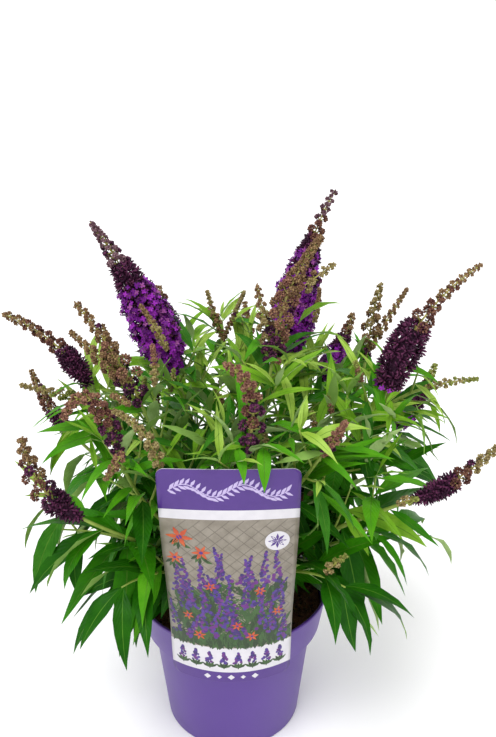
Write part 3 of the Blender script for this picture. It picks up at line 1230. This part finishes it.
def buildWood():
    stump = stumpTemplate()
    lines, radii = [], []
    for shoot in shoots:
        line = shoot["bough"].copy()
        line[0] -= wayOn(line, 0) * boughForm["sinksIn"]
        lines.append(line)
        radii.append((boughForm["footRadius"], boughForm["tipRadius"]))
    rod = rodTemplate(barkForm["boughSides"], barkForm["boughRings"])
    rod, copies, slots = rodBatch(rod, lines, radii, [0] * len(lines))
    for i, line in enumerate(lines):
        centre = placeOn(line, rod["points"][:, 2])
        ridge = [noise.noise(Vector(point * barkForm["boughGrain"])) for point in copies[i]]
        copies[i] += (copies[i] - centre) * np.array(ridge)[:, None] * barkForm["boughRelief"]
    batches = [(stump, stump["points"][None], slotsFor(stump, np.zeros(1, int))), (rod, copies, slots)]
    nodes = ["stem", *[f"bough_{shoot['name']}" for shoot in shoots]]
    joinedPiece("stem_and_boughs", batches, [barkStrips], "bark", nodes)


buildWood()


# nursery pot: injection-moulded polypropylene, satin, with a faint flow mottle

def potMaterial():
    material, tree, shader = newMaterial("moulded polypropylene", 0.42, ior=1.49)
    mottle(tree, shader, "#4e2b86", "#53308c", 60 * mm, 0.3, 0.7)
    roughen(tree, shader, 1.2 * mm, 0.03 * mm)
    return material


def buildPot():
    form = potForm
    wall, lip, height, floor = (form[key] for key in ("wall", "lip", "height", "floor"))
    rim, collar, shoulder, foot = (form[key] for key in ("rimRadius", "collarFootRadius", "shoulderRadius",
                                                         "footRadius"))
    collarFoot = height - form["collarHeight"]
    inside = rim - lip - wall
    profile = [
        (0, 0), *[(foot - inward, up) for inward, up in form["footRound"]],
        (shoulder, collarFoot), (collar, collarFoot), (rim - lip, height - form["rollHeight"]),
        *[(rim - inward, height - down) for inward, down in form["roll"]],
        *[(inside + outward, height - down) for outward, down in form["rollInside"]],
        (collar - wall, collarFoot + wall), (shoulder - wall, collarFoot + wall), (foot - wall, floor),
        (0, floor),
    ]
    bm = bmesh.new()
    turnedShell(bm, profile, form["steps"])
    sharp = [edge for edge in bm.edges if edge.is_manifold and edge.calc_face_angle() > form["sharpFrom"]]
    bmesh.ops.bevel(bm, geom=sharp, offset=form["edgeRound"], segments=3, profile=0.5, affect="EDGES",
                    material=-1)
    cutDrains(shellPiece("nursery_pot", bm, [potMaterial()], "pot", "pot"))


def cutDrains(pot):
    # drain holes, cut through the floor
    form = potForm
    drills = bmesh.new()
    for i in range(form["drains"]):
        turn = 2 * math.pi * i / form["drains"]
        hole = bmesh.ops.create_cone(
            drills, cap_ends=True, segments=form["drillSides"], radius1=form["drainRadius"],
            radius2=form["drainRadius"], depth=form["drillDepth"],
        )["verts"]
        spot = (form["drainRing"] * math.cos(turn), form["drainRing"] * math.sin(turn), 0)
        bmesh.ops.translate(drills, verts=hole, vec=spot)
    mesh = bpy.data.meshes.new("drills")
    drills.to_mesh(mesh)
    drills.free()
    cutter = bpy.data.objects.new("drills", mesh)
    bpy.context.scene.collection.objects.link(cutter)
    cut = pot.modifiers.new("drain holes", "BOOLEAN")
    cut.object, cut.operation, cut.solver = cutter, "DIFFERENCE", "EXACT"
    bpy.context.view_layer.update()
    result = bpy.data.meshes.new_from_object(pot.evaluated_get(bpy.context.evaluated_depsgraph_get()))
    pot.modifiers.clear()
    pot.data = result
    bpy.data.objects.remove(cutter)


buildPot()
print("pot built")


# potting mix: dark moist peat with bark crumbs

soilForm = {
    "top": 131 * mm, "edge": 128.5 * mm, "edgeRadius": 87.6 * mm, "bed": 2.3 * mm, "clear": 0.45 * mm,
    "ledgeClear": 0.3 * mm, "steps": 120, "rings": 34, "domeShare": 3,
    # lumps of two sizes, on the open top only
    "relief": 2.2 * mm, "reliefFrom": 126 * mm, "reliefReach": 86 * mm,
    "coarse": (90, 0.6), "fine": (320, 0.5),
}
crumbForm = {
    "count": 900, "reach": 84 * mm, "lie": ([58 * mm, 87 * mm], [130.2 * mm, 127.8 * mm]),
    "size": [0.7, 2.0], "length": [0.6, 1.9], "uneven": 0.35, "least": 0.8, "lumps": 3, "innermost": 0.05,
}


def insideRadius(height):
    low, high = potForm["footRadius"] - potForm["wall"], potForm["shoulderRadius"] - potForm["wall"]
    collarFoot = potForm["height"] - potForm["collarHeight"] + potForm["wall"]
    share = (height - potForm["floor"]) / (collarFoot - potForm["floor"])
    return low + (high - low) * share - soilForm["clear"]


def buildSoil():
    form = soilForm
    peat = plainMaterial("moist peat", "#46291f", "#663e30", 0.95, 1.4 * mm, 0.9 * mm)
    ledge = potForm["height"] - potForm["collarHeight"] + potForm["wall"]
    shelf = ledge + form["ledgeClear"]
    dome = [(form["edgeRadius"] * share,
             form["edge"] + (form["top"] - form["edge"]) * min(1, form["domeShare"] * (1 - share)))
            for share in np.linspace(1, 0, form["rings"])]
    profile = [(0, form["bed"]), (insideRadius(form["bed"]), form["bed"]), (insideRadius(ledge), shelf),
               (potForm["collarFootRadius"] - potForm["wall"] - form["clear"], shelf), *dome]
    bm = bmesh.new()
    turnedShell(bm, profile, form["steps"])
    (coarse, coarseShare), (fine, fineShare) = form["coarse"], form["fine"]
    for vert in bm.verts:
        if vert.co.z > form["reliefFrom"] and math.hypot(vert.co.x, vert.co.y) < form["reliefReach"]:
            lumps = noise.noise(vert.co * coarse) * coarseShare + noise.noise(vert.co * fine) * fineShare
            vert.co.z += form["relief"] * (lumps - 0.5)
    shellPiece("potting_mix_top", bm, [peat], "potting_mix", "potting_mix")


def scatterCrumbs():
    form, number = crumbForm, crumbForm["count"]
    chips = [plainMaterial("bark crumb", "#4a2f20", "#603f2a", 0.9, 1 * mm, 0.3 * mm),
             plainMaterial("dark crumb", "#23150e", "#38231a", 0.9, 1 * mm, 0.3 * mm)]
    rng = np.random.default_rng(seeds["crumbs"])
    crumb = bmesh.new()
    bmesh.ops.create_icosphere(crumb, subdivisions=1, radius=1)
    for vert in crumb.verts:
        vert.co *= form["least"] + form["uneven"] * noise.noise(vert.co * form["lumps"])
    shape = templateOf(crumb)
    reach = form["reach"] * np.sqrt(rng.uniform(form["innermost"], 1, number))
    turn = rng.uniform(*anyTurn, number)
    places = np.column_stack([reach * np.cos(turn), reach * np.sin(turn), np.interp(reach, *form["lie"])])
    ways = unit(rng.normal(0, 1, (number, 3)))
    size = rng.uniform(*form["size"], number) * mm
    length = size * rng.uniform(*form["length"], number)
    copies = aimed(shape, places, ways, size, length, rng.uniform(*anyTurn, number))
    batch = (shape, copies, slotsFor(shape, rng.integers(0, len(chips), number)))
    joinedPiece("bark_crumbs", [batch], chips, "potting_mix", ["potting_mix"], smooth=False)


buildSoil()
scatterCrumbs()
print("potting mix built")


# plant label: printed plastic sheet under a satin varnish, with a plain pattern of sprigs

# bands are named from the foot to the head, and edges are the heights at which they meet
labelPrint = {
    "bands": ["purple", "white", "backdrop", "white", "purple"],
    "edges": [13 * mm, 44 * mm, 192 * mm, 202 * mm],
    "columns": 28, "rowStep": 6 * mm, "margin": 1 * mm,
    "cornerRows": 7, "endClear": 10 * mm, "edgeClear": 2 * mm,
    "inkLift": 0.08 * mm, "inkStep": 0.014 * mm, "inkSinks": 0.05 * mm,
}
inkTones = {
    "purple": [("#48267c", "#4c2a80")],
    "white": [("#d9d6dc", "#d2cfd6")],
    "backdrop": [("#7f776b", "#91897d")],
    "green": [("#1a3212", "#223e18"), ("#2c4e1e", "#385c28")],
    "bloom": [("#2c1460", "#38206c"), ("#432480", "#523290"), ("#581670", "#68227e")],
    "orange": [("#b8421c", "#c85c2c")],
    "trellis": [("#6c6459", "#746c61")],
    "lilac": [("#b9a9d6", "#c2b4dc")],
}
inks, inkSlots = [], {}
for name, pairs in inkTones.items():
    inkSlots[name] = len(inks)
    for number, pair in enumerate(pairs):
        title = f"{name} ink {number}" if len(pairs) > 1 else f"{name} ink"
        ink, tree, shader = newMaterial(title, 0.32, ior=1.5)
        mottle(tree, shader, *pair, 9 * mm)
        inks.append(ink)


def onLabel(across, along, lift):
    # a spot on the label's front, from its middle line and lower edge. the sheet curves round the collar
    # and flattens towards its top
    form = labelForm
    height = form["bottom"] + along / math.hypot(1, form["lean"])
    free = form["bottom"] + form["height"] - potForm["height"]
    part = np.clip((height - potForm["height"]) / free, 0, 1)
    flat = part * part * (3 - 2 * part)
    snug = labelFront(np.minimum(height, potForm["height"])) + form["thickness"]
    bend = 1 / (1 / snug + (1 / form["bendAtTop"] - 1 / snug) * flat)
    angle = across / bend
    radius = bend + form["thickness"] + lift
    depth = bend - labelFront(height) - radius * np.cos(angle)
    return np.stack([radius * np.sin(angle), depth, height], axis=-1)


def labelRows():
    # heights of the sheet's rows: close together at its round corners, and one at each edge of a band
    height, edges, step = labelForm["height"], labelPrint["edges"], labelPrint["rowStep"]
    turns = np.linspace(0, math.pi / 2, labelPrint["cornerRows"])
    ends = [labelForm["cornerRadius"] * (1 - math.cos(turn)) for turn in turns]
    between = [row for row in np.arange(2 * step, height - labelPrint["endClear"], step)
               if min(abs(row - edge) for edge in edges) > labelPrint["edgeClear"]]
    return sorted(ends + between + edges + [height - end for end in ends])


def buildSheet():
    form, corner, rows = labelForm, labelForm["cornerRadius"], labelRows()
    steps = len(rows) - 1
    bm = bmesh.new()
    bmesh.ops.create_grid(bm, x_segments=labelPrint["columns"], y_segments=steps, size=0.5)
    for vert in bm.verts:
        along = rows[round((vert.co.y + 0.5) * steps)]
        toEnd = min(along, form["height"] - along, corner)
        pulledIn = corner - math.sqrt(max(0, corner**2 - (corner - toEnd) ** 2))
        vert.co = (vert.co.x * (form["width"] - 2 * pulledIn), along, 0)
    front = bm.faces[:]
    for face in front:
        middle = face.calc_center_median().y
        band = labelPrint["bands"][sum(middle > edge for edge in labelPrint["edges"])]
        face.material_index = inkSlots[band]
    bmesh.ops.solidify(bm, geom=front, thickness=form["thickness"])
    bm.normal_update()
    for face in bm.faces:
        if face.normal.z < 0.5:
            face.material_index = inkSlots["white"]
    depth = min(vert.co.z for vert in bm.verts)
    for vert in bm.verts:
        lift = 0 if vert.co.z > depth / 2 else -form["thickness"]
        vert.co = onLabel(vert.co.x, vert.co.y, lift)
    bmesh.ops.recalc_face_normals(bm, faces=bm.faces)
    shellPiece("label_sheet", bm, inks, "label", "plant_label")


# the printed shapes' sides, and a blade's width, how far it tapers and how late
printSides = {"disc": 8, "round": 40, "blade": 8}
bladeForm = {"width": 0.34, "taper": 0.75, "late": 1.5}


def printTemplates():
    # thin islands of ink
    shapes, blade = {}, bladeForm
    for kind, segments in printSides.items():
        shape = bmesh.new()
        bmesh.ops.create_cone(shape, cap_ends=True, segments=segments, radius1=1, radius2=1, depth=1)
        for vert in shape.verts if kind == "blade" else ():
            vert.co.y *= blade["width"] * (1 - blade["taper"] * abs(vert.co.x) ** blade["late"])
        if kind == "round":
            wide = [face for face in shape.faces if abs(face.normal.z) > 0.5]
            bmesh.ops.inset_individual(shape, faces=wide, thickness=0.5)
            bmesh.ops.poke(shape, faces=wide)
        shapes[kind] = templateOf(shape)
    square = bmesh.new()
    bmesh.ops.create_cube(square, size=2)
    shapes["square"] = templateOf(square)
    return shapes


prints = {kind: [] for kind in ("disc", "round", "blade", "square")}


def printShape(kind, across, along, size, turn, level, slot, stretch=1.0):
    # places and sizes in millimetres; a higher level lies over a lower one
    prints[kind].append((across * mm, along * mm, size * mm, turn, level, slot, stretch))


def printBlooms(rng, count, level, across, along, size):
    # small discs up a tapering spike; across, along and size are rules by the share of its height
    for k in range(count):
        up = k / (count - 1)
        printShape("disc", across(up), along(up), size(up), 0, level + k % 4,
                   inkSlots["bloom"] + int(rng.integers(3)))


trellisForm = {
    "pitch": 6.0, "rows": 24, "middle": 107, "reach": 54, "foot": 48, "top": 188, "slat": 0.35,
    "length": 12.2,
}


def printTrellis():
    # slats behind the flowers
    form = trellisForm
    half, rows = form["pitch"] / 2, range(-form["rows"], form["rows"] + 1)
    for k in rows:
        for j in rows:
            across, along = form["pitch"] * (k + j), form["middle"] + form["pitch"] * (k - j)
            if abs(across) < form["reach"] and form["foot"] < along < form["top"]:
                for side in (1, -1):
                    printShape("square", across + half, along + side * half, form["slat"],
                               side * math.pi / 4, 0, inkSlots["trellis"], form["length"])


sprigForm = {
    "count": 28, "reach": 50, "varies": 2, "foot": 62, "rowRise": 30, "footVaries": (-7, 9), "sag": 0.006,
    "blades": 22, "bladeReach": 5, "lowest": 51, "bladeDrop": (2, 36), "bladeSize": (6, 10),
    "bladeTurn": (0.2, 2.9), "tilt": 0.22, "tall": (28, 42), "blooms": 34, "width": 5.2, "taper": 0.8,
    "bloomSize": (1.3, 2.1), "sizeAtFoot": 1.1, "shrinks": 0.45, "level": 6,
}


def printSprigs(rng):
    # sprigs in three rows, the farther ones higher
    form = sprigForm
    for s in range(form["count"]):
        back = (s * 2) % 3
        across = -form["reach"] + 2 * form["reach"] * (s + 0.5) / form["count"]
        across += rng.uniform(-form["varies"], form["varies"])
        foot = form["foot"] + form["rowRise"] * back + rng.uniform(*form["footVaries"])
        foot -= form["sag"] * across**2
        for k in range(form["blades"]):
            beside = across + rng.normal(0, form["bladeReach"])
            along = max(form["lowest"], foot - rng.uniform(*form["bladeDrop"]))
            printShape("blade", beside, along, rng.uniform(*form["bladeSize"]),
                       rng.uniform(*form["bladeTurn"]), 2 + k % 3 - back,
                       inkSlots["green"] + int(rng.integers(2)))
        tilt, tall = rng.normal(0, form["tilt"]), rng.uniform(*form["tall"])
        width = lambda up: form["width"] * (1 - up) ** form["taper"]
        printBlooms(
            rng, form["blooms"], form["level"] - back,
            lambda up: across + tilt * up * tall + rng.uniform(-1, 1) * width(up),
            lambda up: foot + up * tall,
            lambda up: rng.uniform(*form["bloomSize"]) * (form["sizeAtFoot"] - form["shrinks"] * up),
        )


# orange blooms among the sprigs, and three larger ones that climb the trellis: across, along and size
orangeBlooms = [
    (-38, 80, 1), (-17, 118, 1), (6, 72, 1), (26, 112, 1), (42, 84, 1), (-28, 58, 1.1), (19, 58, 1.1),
    (-42, 172, 2.1), (-24, 156, 1.5), (-47, 148, 1.3),
]
orangeForm = {
    "level": 12, "climbsFrom": 1.2, "petalReach": 2.6, "petalSize": 3.0, "eye": 1.2,
    "leafApart": 2.2, "leafDrop": 5, "leafStep": 2.5, "leafSize": 4.5, "firstTurn": 0.7, "turnStep": 0.4,
}


def printOrange():
    # six petals round an eye, and six leaves under each bloom that climbs
    form = orangeForm
    level, out = form["level"], form["petalReach"]
    for across, along, size in orangeBlooms:
        climbs = size > form["climbsFrom"]
        for k in range(6 if climbs else 0):
            printShape("blade", across + (k - 2.5) * form["leafApart"],
                       along - form["leafDrop"] - (k % 3) * form["leafStep"], form["leafSize"],
                       form["firstTurn"] + k * form["turnStep"], level - 1, inkSlots["green"] + k % 2)
        for k in range(6):
            turn = math.pi * k / 3 + across
            printShape("blade", across + out * size * math.cos(turn), along + out * size * math.sin(turn),
                       form["petalSize"] * size, turn, level, inkSlots["orange"])
        printShape("disc", across, along, form["eye"] * size, 0, level + 1, inkSlots["purple"])


headForm = {
    "count": 8, "first": -45.5, "apart": 13, "leaves": 5, "leafApart": 2.0, "leafFoot": 21, "leafStep": 1.2,
    "leafSize": 4.2, "leafTurn": 0.45, "blooms": 22, "bloomSize": (1.1, 1.7), "foot": 25, "tall": 13,
    "width": 4, "taper": 0.7,
}


def printFlowerHeads(rng):
    # a row of small flower heads on leafy stalks across the white foot
    form = headForm
    for s in range(form["count"]):
        across = form["first"] + form["apart"] * s
        for k in range(form["leaves"]):
            printShape("blade", across + (k - 2) * form["leafApart"],
                       form["leafFoot"] + form["leafStep"] * (k % 2), form["leafSize"],
                       math.pi / 2 + (2 - k) * form["leafTurn"], 1 + k % 2,
                       inkSlots["green"] + (k + s) % 2)
        printBlooms(
            rng, form["blooms"], 3,
            lambda up: across + rng.uniform(-1, 1) * form["width"] * (1 - up) ** form["taper"],
            lambda up: form["foot"] + form["tall"] * up,
            lambda up: rng.uniform(*form["bloomSize"]),
        )


tileForm = {"across": 40, "along": 168, "radius": 10.5, "petals": 8, "petalReach": 4.2, "petalSize": 3.9}
garlandForm = {
    "count": 23, "reach": 47, "along": 222, "wave": 6, "turns": 0.13, "leafReach": 3.1, "leafSize": 4.1,
    "leafShift": 1.2, "leafTurn": 0.25, "leafSpread": 0.75, "stalk": 0.45, "stalkLength": 5.2, "slope": 5.5,
}
lozengeForm = {"count": 5, "first": -22, "apart": 11, "along": 6.5, "sizes": (2.3, 1.7)}


def printOrnaments():
    # a plain white tile with a star, lozenges in the foot band, and a garland of leaves in the head band
    tile = tileForm
    printShape("round", tile["across"], tile["along"], tile["radius"], 0, 11, inkSlots["white"])
    for k in range(tile["petals"]):
        turn = 2 * math.pi * k / tile["petals"]
        printShape("blade", tile["across"] + tile["petalReach"] * math.cos(turn),
                   tile["along"] + tile["petalReach"] * math.sin(turn), tile["petalSize"], turn, 12,
                   inkSlots["purple"])
    lozenge = lozengeForm
    for k in range(lozenge["count"]):
        printShape("square", lozenge["first"] + lozenge["apart"] * k, lozenge["along"],
                   lozenge["sizes"][k % 2], math.pi / 4, 1, inkSlots["white"])
    form = garlandForm
    for k in range(form["count"]):
        across = -form["reach"] + 2 * form["reach"] * k / (form["count"] - 1)
        along = form["along"] + form["wave"] * math.sin(across * form["turns"])
        for side in (-1, 1):
            printShape("blade", across + form["leafShift"], along + side * form["leafReach"],
                       form["leafSize"], form["leafTurn"] + side * form["leafSpread"], 1,
                       inkSlots["lilac"])
        slope = form["turns"] * form["slope"] * math.cos(across * form["turns"])
        printShape("square", across, along, form["stalk"], slope, 1, inkSlots["lilac"],
                   form["stalkLength"])


def joinPrint():
    shapes, batches = printTemplates(), []
    edge = labelForm["width"] / 2 - labelPrint["margin"]
    for kind, rows in prints.items():
        across, along, size, turn, level, slot, stretch = (np.array(column) for column in zip(*rows))
        x, y, z = (shapes[kind]["points"][None, :, i] for i in range(3))
        x = x * stretch[:, None]
        cos, sin = np.cos(turn)[:, None], np.sin(turn)[:, None]
        u = np.clip(across[:, None] + (x * cos - y * sin) * size[:, None], -edge, edge)
        v = along[:, None] + (x * sin + y * cos) * size[:, None]
        top = labelPrint["inkLift"] + labelPrint["inkStep"] * level[:, None]
        lift = np.where(z > 0, top, -labelPrint["inkSinks"])
        batches.append((shapes[kind], onLabel(u, v, lift), slotsFor(shapes[kind], slot)))
    joinedPiece("label_print", batches, inks, "label", ["plant_label"], smooth=False)


hookForm = {
    "width": 20 * mm, "thick": 1 * mm, "drop": 15 * mm, "rimClear": 0.6 * mm, "wallClear": 0.45 * mm,
    "offWall": 2.4 * mm, "sheetClear": 0.2 * mm, "edgeRound": 0.2 * mm,
}


def buildHook():
    # the tongue behind, hooked over the rim and down the wall's inside
    form, pot = hookForm, potForm
    thick, drop, top = form["thick"], form["drop"], pot["height"] + form["rimClear"]
    step = pot["height"] - pot["collarHeight"] + pot["wall"]
    flare = (pot["rimRadius"] - pot["lip"] - pot["collarFootRadius"]) / (pot["collarHeight"] - pot["wall"])
    foot = pot["collarFootRadius"] - pot["wall"] - form["wallClear"]
    high, low = (form["offWall"] - (foot + flare * (height - step)) for height in (top, top - drop))
    front = -labelFront(pot["height"]) - form["sheetClear"]
    outline = [(front, top), (front, top + thick), (high + thick, top + thick), (low + thick, top - drop),
               (low, top - drop), (high, top)]
    bm = bmesh.new()
    face = bm.faces.new([bm.verts.new((-form["width"] / 2, y, z)) for y, z in outline])
    slab = bmesh.ops.extrude_face_region(bm, geom=[face])["geom"]
    moved = [item for item in slab if isinstance(item, bmesh.types.BMVert)]
    bmesh.ops.translate(bm, verts=moved, vec=(form["width"], 0, 0))
    bmesh.ops.recalc_face_normals(bm, faces=bm.faces)
    bmesh.ops.bevel(bm, geom=bm.edges[:], offset=form["edgeRound"], segments=2, profile=0.5, affect="EDGES",
                    material=-1)
    shellPiece("label_hook", bm, [inks[inkSlots["white"]]], "label", "plant_label")


def buildLabel():
    rng = np.random.default_rng(seeds["print"])
    buildSheet()
    printTrellis()
    printSprigs(rng)
    printOrange()
    printFlowerHeads(rng)
    printOrnaments()
    joinPrint()
    buildHook()


buildLabel()
print("label built")


# floor, light and camera

studio = {
    "floor": "#ffffff", "floorSize": 60, "sun": 1.55, "sunWidth": 26, "sunFrom": (-0.3, -0.6, 1.3),
    "horizon": 1.08, "horizonUpTo": 0.15, "zenith": 0.9, "zenithFrom": 0.8,
}
# the focal length and the render's longer side are in pixels, and the film spans that side
view = {
    "film": 36, "longSide": 737, "focal": 867.5,
    "place": (15.4 * mm, -720 * mm, 682 * mm), "tiltDown": 22.71,
}


def buildStudio():
    material, tree, shader = newMaterial("pale paper floor", 0.9)
    shader.inputs["Base Color"].default_value = linear(studio["floor"])
    bm = bmesh.new()
    bmesh.ops.create_grid(bm, x_segments=2, y_segments=2, size=studio["floorSize"])
    mesh = bpy.data.meshes.new("floor")
    bm.to_mesh(mesh)
    bm.free()
    mesh.materials.append(material)
    floor = bpy.data.objects.new("floor", mesh)
    bpy.context.scene.collection.objects.link(floor)
    # white room that is brightest round its walls
    world = bpy.data.worlds.new("studio")
    world.use_nodes = True
    tree = world.node_tree
    place = addNode(tree, "ShaderNodeTexCoord")
    parts = addNode(tree, "ShaderNodeSeparateXYZ", {"Vector": place.outputs["Generated"]})
    walls = addNode(
        tree, "ShaderNodeMapRange",
        {"Value": parts.outputs["Z"], "From Min": studio["horizonUpTo"], "From Max": studio["zenithFrom"],
         "To Min": studio["horizon"], "To Max": studio["zenith"]},
    )
    tree.links.new(walls.outputs["Result"], tree.nodes["Background"].inputs["Strength"])
    tree.nodes["Background"].inputs["Color"].default_value = (1, 1, 1, 1)
    bpy.context.scene.world = world
    lamp = bpy.data.lights.new("key", "SUN")
    lamp.energy, lamp.angle = studio["sun"], math.radians(studio["sunWidth"])
    holder = bpy.data.objects.new("key", lamp)
    holder.rotation_euler = (-Vector(studio["sunFrom"])).to_track_quat("-Z", "Y").to_euler()
    bpy.context.scene.collection.objects.link(holder)


def buildCamera():
    lens = bpy.data.cameras.new("camera")
    lens.lens = view["film"] * view["focal"] / view["longSide"]
    holder = bpy.data.objects.new("camera", lens)
    holder.location = view["place"]
    holder.rotation_euler = (math.radians(90 - view["tiltDown"]), 0, 0)
    bpy.context.scene.collection.objects.link(holder)
    bpy.context.scene.camera = holder


buildStudio()
buildCamera()
bpy.context.scene.view_settings.view_transform = "Standard"
print("studio set")
